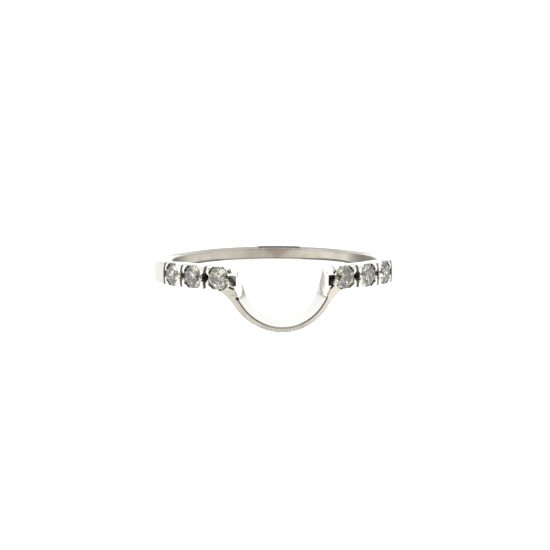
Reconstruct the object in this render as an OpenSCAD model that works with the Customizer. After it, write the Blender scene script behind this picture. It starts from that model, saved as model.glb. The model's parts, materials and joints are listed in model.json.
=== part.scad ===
// Curved wedding band: a white gold ring whose front dips round a neighbouring ring's head.
// It lies on its side, as it rests by itself: on the bottom of the dip in front and on the back.
// The ring is described with its finger hole along Z and its jewelled front toward -Y,
// and rest() then lays it on the plane z = 0.

/* [Finger hole] */
// Diameter of the finger hole
hole_d = 17.3; // [16.5:0.1:18.5]
// Lean of the hole's wall below the shoulders, so that the dip doesn't press on the finger, in degrees
relief_deg = 5; // [3:0.5:6]

/* [Shank] */
// Thickness of the metal at the front
front_t = 1.9; // [1.75:0.05:2.1]
// Thickness of the metal at the back
back_t = 1.3; // [1.1:0.05:1.6]
// Width across the jewelled front
front_w = 1.84; // [1.76:0.02:1.9]
// Width at the sides
side_w = 1.32; // [1.1:0.02:1.6]
// Width where the shank is narrowest, between side and back
waist_w = 0.88; // [0.8:0.02:1.1]
// Width at the middle of the back
back_w = 1.04; // [0.9:0.02:1.2]
// Rise of the front half out of the back half's plane, in degrees
front_rise = 3; // [2:0.25:3.75]

/* [Dip] */
// Clear width between the tops of the two end walls
notch_w = 6.86; // [6.6:0.02:7]
// Thickness of an end wall
wall_t = 0.3; // [0.24:0.02:0.4]
// Thickness of the bent strip at its bottom
strip_t = 0.4; // [0.34:0.02:0.5]
// How much thicker the strip would be a quarter turn up from its bottom
strip_swell = 0.4; // [0:0.05:0.5]
// Inner radius of the strip at the ring's foremost plane
dip_front_r = 4.43; // [4.3:0.02:4.5]
// Height of that radius's centre
dip_front_z = 1.1; // [1:0.02:1.2]
// Inner radius of the strip at the finger hole's foremost plane
dip_rear_r = 3.32; // [3.24:0.02:3.4]
// Height of that radius's centre
dip_rear_z = 0.44; // [0.36:0.02:0.5]
// How far the strip's front stands behind the shoulders
strip_step = 0.06; // [0.04:0.01:0.1]
// Radius of the hollow curve that leads from a shoulder into the strip
foot_r = 1.2; // [1:0.05:1.4]

/* [Stones] */
// Diameter of a stone at its girdle
stone_d = 1.9; // [1.86:0.01:1.93]
// Space between two stones
stone_gap = 0.68; // [0.64:0.02:0.72]
// Space between the first stone and the end wall
window_w = 0.61; // [0.56:0.01:0.62]
// Depth of the girdle's top below the metal's outside
stone_sink = 0.14; // [0.1:0.02:0.16]
// Gap between a stone and its seat
seat_gap = 0.02; // [0.01:0.005:0.03]
// Radius of the hole from a seat to the finger
pilot_r = 0.4; // [0.3:0.02:0.5]
// Width of a saw cut between two heads
cut_w = 0.16; // [0.12:0.01:0.2]
// Width of the cut that ends a row of heads
end_cut_w = 0.3; // [0.2:0.02:0.36]
// Depth of a saw cut
cut_depth = 0.95; // [0.8:0.05:1.1]
// Radius of a prong's round top
prong_r = 0.3; // [0.26:0.01:0.3]

/* [Hidden] */

LEFT = -1;
RIGHT = 1;
STONES = 3;

hole_r = hole_d / 2;
stone_r = stone_d / 2;
outer_r = (hole_d + front_t + back_t) / 2;
outer_shift = (front_t - back_t) / 2;
row_r = outer_r + outer_shift;

// Stations along the shank: angle from the front, width there
ANGLE = 0;
WIDTH = 1;
stations = [
    [0, front_w],
    [65, front_w],
    [90, side_w],
    [130, waist_w],
    [180, back_w]
];

// Angle that a length takes up along the row of stones
function deg_of(length) = length / row_r * 180 / PI;

// Angles of the stones, of the cuts beyond them and of the window at the end wall
window_x = notch_w / 2 + wall_t;
wall_deg = asin(window_x / row_r);
function stone_deg(i) = wall_deg + deg_of(window_w + stone_r + i * (stone_d + stone_gap));
function cut_deg(i) = stone_deg(i) + deg_of((stone_d + stone_gap) / 2);

// Distance from the finger axis to the outside, at an angle from the front
function outside(deg) = outer_shift * cos(deg) + sqrt(pow(outer_r, 2) - pow(outer_shift * sin(deg), 2));
// Height of the shank's middle at a place along Y
function mid_z(y) = y < 0 ? -y * tan(front_rise) : 0;
// Height of the shank's middle at its outside, at an angle from the front
function mid_at(deg) = mid_z(-outside(deg) * cos(deg));

// Proportions of the brilliant cut
table_share = 0.57;
girdle_share = 0.03;
star_share = 0.5;
lower_share = 0.77;
crown_deg = 34.5;
pavilion_deg = 40.75;
girdle_h = girdle_share * stone_d;

// Pockets between the stones: how far they reach under a stone's edge, their height and depth
pocket_lap = 0.03;
pocket_h = 0.68;
pocket_depth = 1.2;

// Window between the first stone and the end wall: height, depth, place and turn from the finger axis
window_h = 0.84;
window_depth = 0.9;
window_z = 0.33;
window_turn = 12;

// Slits beside the window, between a prong and the end wall: size, and how far out from the wall,
// how far beyond the window's edge and how much turned each one is
slit_w = 0.13;
slit_l = 0.36;
slit_depth = 0.3;
OUT = 0;
BEYOND = 1;
TURN = 2;
upper_slit = [0.5, 0.16, -12];
lower_slit = [0.3, 0.1, -48];

// Prong tops: where they stand beside a stone's middle, and how deep their round's centre lies
prong_x = 0.84;
prong_z = 0.6;
prong_sink = 0.14;

// End walls: height of their tops, and the tops' rounding
wall_top_z = 1.13;
wall_round = 0.2;

// Stations up an end wall: height, and how much narrower or wider the dip is there than at the walls' tops,
// on each side of the middle, at the finger hole and at the outside
HEIGHT = 0;
REAR = 1;
FRONT = 2;
wall_stations = [
    [-1, -0.76, 0.18],
    [-0.6, -0.59, 0.22],
    [-0.1, -0.38, 0.16],
    [0.5, -0.21, 0.08],
    [1.25, 0, 0]
];
wall_heights = [-1, -0.8, -0.6, -0.4, -0.1, 0.2, 0.5, 0.75, 1, 1.25, 3];
function wall_off(side, z) = lookup(z, [for (w = wall_stations) [w[HEIGHT], w[side]]]);

// Height below which the finger hole leans out
relief_z = -0.95;

// Where an end wall meets the finger hole and the outside, along Y
wall_rear_y = -sqrt(pow(hole_r, 2) - pow(notch_w / 2, 2));
wall_front_y = -outer_shift - sqrt(pow(outer_r, 2) - pow(notch_w / 2, 2));

// Planes across the dip: the two that its sizes are given at, and those that its outlines are drawn in
rear_y = -hole_r;
front_y = -row_r;
first_y = rear_y + 0.85;
last_y = front_y - 0.2;
planes = [for (i = [0 : 3]) first_y + (last_y - first_y) * i / 3];

// The ring touches the ground at the back's lower edge and at the strip's lower front edge
back_y = outer_r - outer_shift;
strip_y = strip_step - row_r;
strip_z = strip_mid_z(strip_y) - strip_r(strip_y);
tilt = atan((-back_w / 2 - strip_z) / (back_y - strip_y));
lift = back_y * sin(tilt) + back_w / 2 * cos(tilt);
front_reach = strip_y * cos(tilt) + strip_z * sin(tilt);
back_reach = back_y * cos(tilt) + back_w / 2 * sin(tilt);

// Fineness of large and small rounds, and a length beyond every part of the ring
fine = 96;
small = 32;
far = 30;

// Lays what is described round the finger axis on the plane z = 0
module rest() {
    translate([0, -(front_reach + back_reach) / 2, lift])
        rotate([-tilt, 0, 0])
            children();
}

// Puts a thing at an angle from the front, its +Z pointing out, at a distance from the finger axis
module on_front(deg, r, z) {
    rotate([0, 0, deg])
        translate([0, -r, z])
            rotate([90, 0, 0])
                children();
}

module both_sides() {
    children();
    mirror([1, 0, 0])
        children();
}

// Points of an arc in the XZ plane
function arc(x, z, r, from, to, steps) =
    [for (i = [0 : steps]) let (a = from + (to - from) * i / steps) [x + r * cos(a), z + r * sin(a)]];

// A solid through outlines of [x, z] points, one for each of the planes across the dip
module loft(rows) {
    n = len(rows[0]);
    last = len(rows) - 1;
    points = [for (r = [0 : last]) for (p = rows[r]) [p[0], planes[r], p[1]]];
    caps = [[for (i = [0 : n - 1]) i], [for (i = [0 : n - 1]) (last + 1) * n - 1 - i]];
    sides = [
        for (r = [0 : last - 1])
            for (i = [0 : n - 1])
                let (a = r * n + i, b = r * n + (i + 1) % n)
                    each i < n / 2 ? [[a, b + n, b], [a, a + n, b + n]] : [[a, a + n, b], [b, a + n, b + n]]
    ];
    polyhedron(points, concat(caps, sides));
}

// A size at a plane across the dip, from its values at two others
function across(rear, front, rear_at, front_at, y) = rear + (front - rear) * (y - rear_at) / (front_at - rear_at);
function dip_r(y) = across(dip_rear_r, dip_front_r, rear_y, front_y, y);
function dip_z(y) = across(dip_rear_z, dip_front_z, rear_y, front_y, y);

// The strip's outside is a round too, larger and higher than the dip's
function strip_r(y) = dip_r(y) + strip_t + strip_swell;
function strip_mid_z(y) = dip_z(y) + strip_swell;

// All that is lower than a height
module below(z) {
    translate([-far / 2, -far / 2, z - far])
        cube([far, far, far]);
}

module strip_round() {
    loft([for (y = planes) arc(0, strip_mid_z(y), strip_r(y), 0, 360 - 360 / fine, fine - 1)]);
}

// One side of the dip's outline in a plane, from the bottom up: the round, then the end wall
function dip_side(y) =
    let (
        walls = [
            for (z = wall_heights)
                [notch_w / 2 + across(wall_off(REAR, z), wall_off(FRONT, z), wall_rear_y, wall_front_y, y), z]
        ],
        end = asin((walls[0][1] - dip_z(y)) / dip_r(y))
    )
        concat(arc(0, dip_z(y), dip_r(y), -90 + 90 / fine, end - 2, 24), walls);

module dip_space() {
    loft([
        for (y = planes)
            let (side = dip_side(y), last = len(side) - 1)
                concat(side, [for (i = [last : -1 : 0]) [-side[i][0], side[i][1]]])
    ]);
}

// Round outside of the ring, or a smaller one behind it
module outer_round(behind) {
    translate([0, -outer_shift, -far / 2])
        cylinder(r = outer_r - behind, h = far, $fn = fine);
}

// Outline of the shank and shoulders from the side, drawn out along X
module side_slab() {
    reach = row_r + 1;
    ys = [for (s = stations) s[ANGLE] == 0 ? -reach : s[ANGLE] == 180 ? reach : -outside(s[ANGLE]) * cos(s[ANGLE])];
    last = len(stations) - 1;
    upper = [for (i = [0 : last]) [ys[i], mid_z(ys[i]) + stations[i][WIDTH] / 2]];
    lower = [for (i = [0 : last]) let (j = last - i) [ys[j], mid_z(ys[j]) - stations[j][WIDTH] / 2]];
    rotate([90, 0, 90])
        linear_extrude(height = far, center = true)
            polygon(concat(upper, lower));
}

// Hollow curve that leads from a shoulder's underside into the strip
module foot() {
    lap = 0.03;
    inward = 1.1;
    top = 0.1;
    steps = 10;
    loft([
        for (y = planes)
            let (
                z = mid_z(y) - front_w / 2 - foot_r + lap,
                reach = strip_r(y) + foot_r,
                x = sqrt(pow(reach, 2) - pow(strip_mid_z(y) - z, 2)) - lap,
                curve = arc(x, z, foot_r, 161, 97, steps),
                start = dip_r(y) + strip_t - inward
            )
                concat([[start, top], [start, curve[0][1]]], curve, [[curve[steps][0], top]])
    ]);
}

// Finger hole, straight at the shoulders and leaning out below them
module finger_hole() {
    deep = 4.2;
    rotate_extrude($fn = fine)
        polygon([
            [0, -deep],
            [hole_r + (deep + relief_z) * tan(relief_deg), -deep],
            [hole_r, relief_z],
            [hole_r, deep],
            [0, deep]
        ]);
}

// Things at a stone's place, with the girdle's top edge at z = 0
module at_stone(side, i) {
    deg = stone_deg(i);
    on_front(side * deg, outside(deg) - stone_sink, mid_at(deg))
        children();
}

module at_stones() {
    for (side = [LEFT, RIGHT])
        for (i = [0 : STONES - 1])
            at_stone(side, i)
                children();
}

// Straight hole that a stone is let down through, one gap wider and deeper than the room it leads to
module well() {
    translate([0, 0, -girdle_h - 2 * seat_gap])
        cylinder(r = stone_r + 2 * seat_gap, h = 2, $fn = small);
}

// Room for the stone itself, and the hole from its point to the finger
module stone_room() {
    wide = stone_r + seat_gap;
    low = -girdle_h - seat_gap;
    crown_top = 0.4;
    beyond = 0.5;
    rotate_extrude($fn = small)
        polygon([
            [0, low - wide * tan(pavilion_deg)],
            [wide, low],
            [wide, seat_gap],
            [wide - crown_top / tan(crown_deg), seat_gap + crown_top],
            [0, seat_gap + crown_top]
        ]);
    translate([0, 0, -front_t - beyond])
        cylinder(r = pilot_r, h = front_t, $fn = small);
}

// Round tops of the prongs at a stone's four corners
module prong_tops() {
    for (x = [-prong_x, prong_x])
        for (z = [-prong_z, prong_z])
            translate([x, z, -prong_sink])
                sphere(r = prong_r, $fn = small);
}

// Pocket into the outside between two angles, turned away from the finger axis if asked
module pocket(from, to, z, high, depth, turn = 0) {
    deg = (from + to) / 2;
    width = (to - from) / 180 * PI * row_r;
    on_front(deg, outside(deg), z)
        rotate([0, -turn, 0])
            translate([-width / 2, -high / 2, -depth])
                cube([width, high, depth + 1]);
}

// Short shallow slit above the window, or below it where the side is -1
module slit(kind, side) {
    deg = asin((window_x + kind[OUT]) / row_r);
    on_front(deg, outside(deg) - slit_depth, window_z + side * (window_h / 2 + kind[BEYOND]))
        rotate([0, 0, kind[TURN]])
            translate([-slit_w / 2, -slit_l / 2, 0])
                cube([slit_w, slit_l, slit_depth + 1]);
}

// Narrow cut right across the shoulder
module saw_cut(deg, width) {
    on_front(deg, outside(deg) - cut_depth, 0)
        translate([-width / 2, -front_w, 0])
            cube([width, 3 * front_w, cut_depth + 1]);
}

// Cuts and pockets of the right shoulder
module shoulder_cuts() {
    edge = deg_of(stone_r - pocket_lap);
    last = STONES - 1;
    for (i = [0 : last - 1]) {
        saw_cut(cut_deg(i), cut_w);
        pocket(stone_deg(i) + edge, stone_deg(i + 1) - edge, mid_at(cut_deg(i)), pocket_h, pocket_depth);
    }
    saw_cut(cut_deg(last), end_cut_w);
    pocket(
        stone_deg(last) + edge, cut_deg(last) + deg_of(end_cut_w / 2),
        mid_at(cut_deg(last)), pocket_h, pocket_depth
    );
    pocket(wall_deg, stone_deg(0) - edge, window_z, window_h, window_depth, window_turn);
    slit(upper_slit, 1);
    slit(lower_slit, -1);
}

// What is taken off over an end wall, so that its top is round and lower than the shoulder
module wall_drop() {
    inside_x = notch_w / 2 - 0.1;
    slope_x = window_x + 0.25;
    slope_run = 0.4;
    slope_rise = 0.5;
    high = 3;
    outline = concat(
        [[0, high], [0, wall_top_z - wall_round]],
        arc(inside_x + wall_round, wall_top_z - wall_round, wall_round, 180, 90, 6),
        [[slope_x, wall_top_z], [slope_x + slope_run, wall_top_z + slope_rise], [slope_x + slope_run, high]]
    );
    translate([0, first_y, 0])
        rotate([90, 0, 0])
            linear_extrude(height = front_t + 2)
                polygon(outline);
}

// Shank, shoulders and strip before anything is let into them
module blank() {
    intersection() {
        outer_round(0);
        union() {
            side_slab();
            both_sides()
                foot();
        }
    }
    intersection() {
        outer_round(strip_step);
        strip_round();
        below(0);
    }
}

module band() {
    color("gainsboro")
        rest()
            difference() {
                union() {
                    difference() {
                        blank();
                        at_stones()
                            well();
                        both_sides()
                            shoulder_cuts();
                    }
                    at_stones()
                        prong_tops();
                }
                finger_hole();
                dip_space();
                both_sides()
                    wall_drop();
                at_stones()
                    stone_room();
            }
}

// Height at a place on the plane through three points
function plane_z(a, b, c, x, y) =
    let (n = cross(b - a, c - a))
        a[2] - (n[0] * (x - a[0]) + n[1] * (y - a[1])) / n[2];

function polar(r, deg, z) = [r * cos(deg), r * sin(deg), z];

// Round brilliant, its girdle's top edge at z = 0 and its table up
module brilliant() {
    step = 22.5;
    corner = cos(step);
    table_r = table_share * stone_r;
    star_r = table_r * corner + star_share * (stone_r - table_r * corner);
    lower_r = (1 - lower_share) * stone_r;
    table_z = (stone_r - table_r) * tan(crown_deg);
    star_z = (stone_r - star_r * corner) * tan(crown_deg);
    lower_z = -girdle_h - (stone_r - lower_r * corner) * tan(pavilion_deg);
    culet_z = -girdle_h - stone_r * tan(pavilion_deg);

    // Heights of the girdle's two edges halfway between the corners, where a facet's edge dips or rises
    top_z = plane_z(
        polar(star_r, step, star_z), polar(stone_r, 0, 0), polar(stone_r, step, 0),
        stone_r * cos(step / 2), stone_r * sin(step / 2)
    );
    low_z = plane_z(
        polar(lower_r, step, lower_z), polar(stone_r, 0, -girdle_h), polar(stone_r, step, -girdle_h),
        stone_r * cos(step / 2), stone_r * sin(step / 2)
    );

    table = [for (k = [0 : 7]) polar(table_r, 2 * k * step, table_z)];
    star = [for (k = [0 : 7]) polar(star_r, (2 * k + 1) * step, star_z)];
    top = [for (j = [0 : 31]) polar(stone_r, j * step / 2, j % 2 == 0 ? 0 : top_z)];
    low = [for (j = [0 : 31]) polar(stone_r, j * step / 2, j % 2 == 0 ? -girdle_h : low_z)];
    lower = [for (k = [0 : 7]) polar(lower_r, (2 * k + 1) * step, lower_z)];
    points = concat(table, star, top, low, lower, [[0, 0, culet_z]]);

    // Where each kind of point starts in the list
    s = 8;
    t = s + 8;
    b = t + 32;
    l = b + 32;
    culet = l + 8;
    faces = [
        [for (k = [0 : 7]) 7 - k],
        for (k = [0 : 7])
            let (next = (k + 1) % 8, last = (k + 7) % 8, g = 4 * k, end = 4 * next)
                each [
                    [k, s + k, t + g, s + last],
                    [k, next, s + k],
                    [s + k, t + g + 2, t + g + 1, t + g],
                    [s + k, t + end, t + g + 3, t + g + 2],
                    [l + k, b + g, b + g + 1, b + g + 2],
                    [l + k, b + g + 2, b + g + 3, b + end],
                    [culet, l + last, b + g, l + k]
                ],
        for (j = [0 : 31])
            let (next = (j + 1) % 32)
                [t + j, t + next, b + next, b + j]
    ];
    polyhedron(points, faces);
}

// One stone in its seat, counted from the dip
module stone(side, i) {
    color("lightcyan")
        rest()
            at_stone(side, i)
                brilliant();
}

module stone_left_1() { stone(LEFT, 0); }
module stone_left_2() { stone(LEFT, 1); }
module stone_left_3() { stone(LEFT, 2); }
module stone_right_1() { stone(RIGHT, 0); }
module stone_right_2() { stone(RIGHT, 1); }
module stone_right_3() { stone(RIGHT, 2); }

band();
stone_left_1();
stone_left_2();
stone_left_3();
stone_right_1();
stone_right_2();
stone_right_3();
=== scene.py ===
# %% [markdown]
# # A curved wedding band in white gold
#
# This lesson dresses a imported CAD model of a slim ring. Its jewelled front stops at a dip, which passes
# round the head of a second ring worn beside it. CAD has fixed every size. Blender's part is the look:
# polished metal with worn, rounded edges, and six small diamonds.
#
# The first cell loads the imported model.

import json
import math

import bpy
import numpy as np
from mathutils import Matrix, Vector


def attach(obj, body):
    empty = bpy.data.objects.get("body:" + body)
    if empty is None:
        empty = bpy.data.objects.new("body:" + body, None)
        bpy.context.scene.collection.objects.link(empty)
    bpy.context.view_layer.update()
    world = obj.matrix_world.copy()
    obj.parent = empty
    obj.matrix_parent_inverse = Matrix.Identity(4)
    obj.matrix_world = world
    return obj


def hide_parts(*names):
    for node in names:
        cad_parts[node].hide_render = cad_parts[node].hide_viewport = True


MM = 0.001

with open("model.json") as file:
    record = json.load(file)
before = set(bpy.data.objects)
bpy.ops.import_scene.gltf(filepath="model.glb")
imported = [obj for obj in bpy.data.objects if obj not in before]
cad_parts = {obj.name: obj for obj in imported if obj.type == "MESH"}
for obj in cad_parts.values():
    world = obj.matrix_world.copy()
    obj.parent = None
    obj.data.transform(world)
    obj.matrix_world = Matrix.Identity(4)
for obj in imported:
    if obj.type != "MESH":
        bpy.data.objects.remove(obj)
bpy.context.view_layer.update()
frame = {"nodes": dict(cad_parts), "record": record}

for name, node in sorted(frame["nodes"].items()):
    print(name, len(node.data.vertices), "vertices")

# %% [markdown]
# ## Where the finger goes
#
# The ring lies on its side and leans a little, because the bottom of the dip lifts its front off the table.
# It is much easier to describe a ring round its finger hole, with the hole along Z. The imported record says
# where the hole's axis runs, so we read the lean from there and make one matrix that carries points
# from the upright description to the ring as it lies. Lengths in the upright description are millimetres.

# %% Turn from the ring's own axis to the table
# Height of the record's point on the finger axis, in the upright description
AXIS_POINT_Z = 0.2

finger = next(m for m in frame["record"]["mounts"] if m["name"] == "finger")
lean = math.atan2(finger["axis"][1], finger["axis"][2])
lay_down = Matrix.Rotation(-lean, 3, "X")
lift = Vector(finger["pos_m"]) / MM - lay_down @ Vector((0, 0, AXIS_POINT_Z))


def on_table(points):
    """Points round the upright finger axis, in mm, as points on the table, in metres."""
    return (points @ np.array(lay_down).T + np.array(lift)) * MM


print("lean in degrees:", round(math.degrees(lean), 2))
print("middle of the hole in mm:", [round(v, 3) for v in lift])

# %% [markdown]
# ## The camera
#
# The photograph was taken from in front and a little above, with a long lens, so the ring hardly shows
# any perspective. We put the camera 180 mm away, in the upright description, and choose a lens that gives
# 11.86 pixels to a millimetre on a picture 550 pixels wide. The small shift only centres the ring as the
# photograph does. There is no depth of field.

# %% Camera
PICTURE_PX = 550
PX_PER_MM = 11.862
CENTRE_PX = (274.645, 267.537)
CAMERA_MM = 180
CAMERA_RISE_DEG = 8.206
CAMERA_TURN_DEG = -3.586
SENSOR_MM = 36

rise = math.radians(CAMERA_RISE_DEG)
turn = math.radians(CAMERA_TURN_DEG)
back = Vector((math.sin(turn) * math.cos(rise), -math.cos(turn) * math.cos(rise), math.sin(rise)))
right = Vector((math.cos(turn), math.sin(turn), 0))
up = back.cross(right)

lens = bpy.data.cameras.new("long_lens")
lens.sensor_width = SENSOR_MM
lens.lens = PX_PER_MM * CAMERA_MM / PICTURE_PX * SENSOR_MM
lens.shift_x = (PICTURE_PX / 2 - CENTRE_PX[0]) / PICTURE_PX
lens.shift_y = (CENTRE_PX[1] - PICTURE_PX / 2) / PICTURE_PX
lens.clip_start = 0.005
lens.clip_end = 20

camera = bpy.data.objects.new("camera", lens)
facing = Matrix([lay_down @ right, lay_down @ up, lay_down @ back]).transposed()
camera.matrix_world = Matrix.Translation((lay_down @ back * CAMERA_MM + lift) * MM) @ facing.to_4x4()
bpy.context.scene.collection.objects.link(camera)
bpy.context.scene.camera = camera
print("lens in mm:", round(lens.lens, 1), "camera height in mm:", round(camera.location.z / MM, 1))

# %% [markdown]
# ## Describing metal by distance
#
# A jeweller's ring has no sharp edges: filing and polishing round every one of them. Bevelling a CAD mesh
# full of small cuts tends to go wrong, so here the metal is described another way. For any point we work
# out its distance to the surface, below zero inside the metal. Two shapes are joined with a minimum and
# cut with a maximum, and a rounded maximum gives each edge its radius. A mesh is then wrapped round the
# zero level. The price is that every shape has to be written as a distance, but for a ring made of rounds,
# planes and drilled holes that is short.

# %% Rounded edges and hollow joints
def round_edge(a, b, r):
    """Keeps what is in both shapes. Their common edge gets the radius r."""
    return np.minimum(np.maximum(a, b), -r) + np.hypot(np.maximum(a + r, 0), np.maximum(b + r, 0))


def hollow_joint(a, b, r):
    """Keeps what is in either shape. The corner between them gets a hollow curve of radius r."""
    return np.maximum(np.minimum(a, b), r) - np.hypot(np.maximum(r - a, 0), np.maximum(r - b, 0))


def carve(metal, tool, r):
    """Takes the tool's shape out of the metal, with edges of radius r."""
    return round_edge(metal, -tool, r)


print("edge of radius 0.1 at a corner:", round(float(round_edge(0.0, 0.0, 0.1)), 4))


# %% Soft steps and curves
def fade(low, high, value):
    """Goes smoothly from 0 at low to 1 at high."""
    t = np.clip((value - low) / (high - low), 0, 1)
    return t * t * (3 - 2 * t)


def smooth_curve(at, values, blur):
    """A curve through a few stations, with its corners softened over a length of about blur."""
    per_blur = 8
    reach = 3 * per_blur
    fine = np.arange(at[0] - 4 * blur, at[-1] + 4 * blur, blur / per_blur)
    first = (values[1] - values[0]) / (at[1] - at[0])
    last = (values[-1] - values[-2]) / (at[-1] - at[-2])
    line = np.interp(fine, at, values)
    line += np.minimum(fine - at[0], 0) * first + np.maximum(fine - at[-1], 0) * last
    bell = np.exp(-0.5 * (np.arange(-reach, reach + 1) / per_blur) ** 2)
    soft = np.convolve(line, bell / bell.sum(), "valid")
    return lambda value: np.interp(value, fine[reach:-reach], soft)


print("a soft step at a quarter of its way:", float(fade(0, 1, 0.25)))

# %% [markdown]
# ## The shank
#
# The shank is the plain part that goes round the finger. Seen from the side it tapers from the shoulders
# to a narrow waist and widens again at the back, where such rings are cut when they are made larger
# or smaller. The outside is a round of 10.25 mm whose centre lies 0.3 mm in front of the finger axis,
# so the metal is thicker in front. The worn outside is a touch domed, and the part at the back where
# the ring was once sized stands a hair higher.
#
# A profile swept round a circle would make such a shank too. But its sides come closer and part again on
# the way round, so here two smoothed curves say how high they lie at every place. The metal is what lies
# between them, inside the round and outside the finger hole.

# %% Shank
HOLE_R = 8.65
OUTER_R = 10.25
OUTER_SHIFT = 0.3
DOME_DROP = 0.035
STRIP_STEP = 0.035

# Where along Y the back begins, and where in height the bent strip begins
BACK_Y = (4, 6)
STRIP_Z = (-1.12, -1.06)

# Heights of the shank's upper and lower side at a few places along Y, from the front to the back
station_y = np.array([-11.55, -4.384, 0, 6.463, 11.55])
top_line = smooth_curve(station_y, np.array([1.525, 1.150, 0.660, 0.440, 0.520]), 0.5)
low_line = smooth_curve(station_y, np.array([-0.315, -0.690, -0.660, -0.440, -0.520]), 0.5)


def outside(x, y, z):
    """The round outside, a touch lower towards its edges, and lower again on the bent strip."""
    top, low = top_line(y), low_line(y)
    across = np.clip((2 * z - top - low) / (top - low), -1, 1)
    strip = 1 - fade(*STRIP_Z, z)
    return np.hypot(x, y + OUTER_SHIFT) - OUTER_R + DOME_DROP * across**2 + STRIP_STEP * strip


print("height of the front and back in mm:", [round(float(top_line(y) - low_line(y)), 2) for y in (-9, 10)])

# %% Sides, edges and finger hole
SIZED_RISE = 0.04
UNDERSIDE_RISE = 0.025
STRIP_EDGE_R = 0.04
WORN_R = 0.08
RELIEF_DEG = 5
RELIEF_Z = -0.95
RELIEF_SHARPNESS = 12


def sized_piece(x, y):
    """One where the piece stands that was let in when the ring was sized."""
    return fade(*BACK_Y, y) * fade(-1.3, -0.6, x) * (1 - fade(2.6, 3.3, x))


def slab(x, y, z):
    """The shank's two sides. Where the ring was sized, both lie a little higher at the back."""
    low_piece = fade(*BACK_Y, y) * fade(-4.2, -3.9, x) * (1 - fade(2.7, 3.1, x))
    above = z - top_line(y) - SIZED_RISE * sized_piece(x, y)
    return np.maximum(above, low_line(y) + UNDERSIDE_RISE * low_piece - z)


def edge_radius(z):
    """The shoulders' long edges are worn round. The strip, lower down, kept its own much sharper."""
    return STRIP_EDGE_R + WORN_R * fade(-1.1, -0.6, z)


def finger_hole(x, y, z):
    """The space for the finger. Below the shoulders its wall begins softly to lean out by 5 degrees."""
    below = np.logaddexp(0, (RELIEF_Z - z) * RELIEF_SHARPNESS) / RELIEF_SHARPNESS
    return np.hypot(x, y) - HOLE_R - below * math.tan(math.radians(RELIEF_DEG))


print("edge radius on the shoulder and on the strip:", edge_radius(np.array([0.0, -2.0])).round(3))

# %% [markdown]
# ## The dip
#
# In front a thin strip bends down and up again like a U. Its inside is part of a slanted cone: wider and
# higher at the outside of the ring than at the finger. Above it stand two thin end walls, which close
# the rows of stones. A hollow curve leads from the underside of each shoulder into the strip.
#
# The strip's outside is a larger and higher round than its inside, so it gets thicker towards the
# shoulders. It was bent by hand, so the left half came out a little thicker than the right.
#
# A strip of even thickness, bent along a curve, would be the simple way. In the photograph its inside is
# wider and higher in front than behind, and a slanted cone gives that with four numbers.

# %% Strip
REAR_Y = -HOLE_R
FRONT_Y = -(OUTER_R + OUTER_SHIFT)
STRIP_T = 0.4
STRIP_SWELL = 0.4
LEFT_EXTRA = 0.2
FOOT_R = 1.2
CONE_R = (3.32, 4.43)
CONE_Z = (0.44, 1.10)

# The strip and the dip are only in front of this place along Y
FRONT_ONLY_Y = -5


def dip_round(x, y, z, grow=0.0, swell=0.0):
    """The slanted cone inside the strip, or the strip's outside when it is grown and swollen."""
    wider, higher = CONE_R[1] - CONE_R[0], CONE_Z[1] - CONE_Z[0]
    share = (y - REAR_Y) / (FRONT_Y - REAR_Y)
    radius = CONE_R[0] + wider * share + swell
    height = z - CONE_Z[0] - higher * share - swell
    reach = np.maximum(np.hypot(x, height), 1e-6)
    slope = (wider + height / reach * higher) / (FRONT_Y - REAR_Y)
    return (reach - radius - grow) / np.sqrt(1 + slope**2)


def strip_outside(x, y, z):
    """The strip's outside, which swells more on the left. The change is spread over the middle."""
    return dip_round(x, y, z, STRIP_T, STRIP_SWELL - LEFT_EXTRA * np.tanh(x / 2))


def both_sides(x, y, z):
    """The shank's sides, which run down into the strip's outside."""
    strip = np.maximum(strip_outside(x, y, z), np.maximum(z, y - FRONT_ONLY_Y))
    return hollow_joint(slab(x, y, z), strip, FOOT_R)


print("the dip's bottom, in front, in mm:", round(CONE_Z[1] - CONE_R[1], 2))

# %% End walls
NOTCH_HALF = 3.43
WALL_T = 0.3
WALL_TOP_Z = 1.13
WALL_REAR_Y = -math.sqrt(HOLE_R**2 - NOTCH_HALF**2)
WALL_FRONT_Y = -OUTER_SHIFT - math.sqrt(OUTER_R**2 - NOTCH_HALF**2)
WALL_FROM_Z = (-1.6, -0.7)

# A wall's low top reaches this far past it. Then the metal climbs to the shoulder's full height.
LOW_TOP = 0.34
CLIMB = 2.5

# How far beyond the notch's half width the walls' insides lie, at a few heights: behind and in front
wall_at = np.array([-1.6, -1.0, -0.6, -0.1, 0.5, 1.25])
wall_rear = smooth_curve(wall_at, np.array([-1.0, -0.76, -0.59, -0.38, -0.21, 0]), 0.12)
wall_front = smooth_curve(wall_at, np.array([0.12, 0.18, 0.22, 0.16, 0.08, 0]), 0.12)


def dip_space(x, y, z):
    """All that is empty between the end walls and above the strip."""
    share = (y - WALL_REAR_Y) / (WALL_FRONT_Y - WALL_REAR_Y)
    rear, front = wall_rear(z), wall_front(z)
    slope = (front - rear) / (WALL_FRONT_Y - WALL_REAR_Y)
    # The tenth above one allows for the walls' lean over their height
    wall = (np.abs(x) - NOTCH_HALF - rear - (front - rear) * share) / np.sqrt(1.1 + slope**2)
    upper = fade(*WALL_FROM_Z, z)
    return np.maximum((1 - upper) * dip_round(x, y, z) + upper * wall, y - FRONT_ONLY_Y)


def wall_drop(x, z):
    """Above zero over an end wall, whose top is lower than the shoulder behind it."""
    beyond = np.abs(x) - NOTCH_HALF - WALL_T - LOW_TOP
    # Over the steep climb, half the height is near enough to the distance
    return (z - WALL_TOP_Z - CLIMB * np.maximum(beyond, 0)) / np.where(beyond > 0, 2.0, 1.0)


print("the end walls reach from", round(WALL_REAR_Y, 2), "to", round(WALL_FRONT_Y, 2), "mm")

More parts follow.
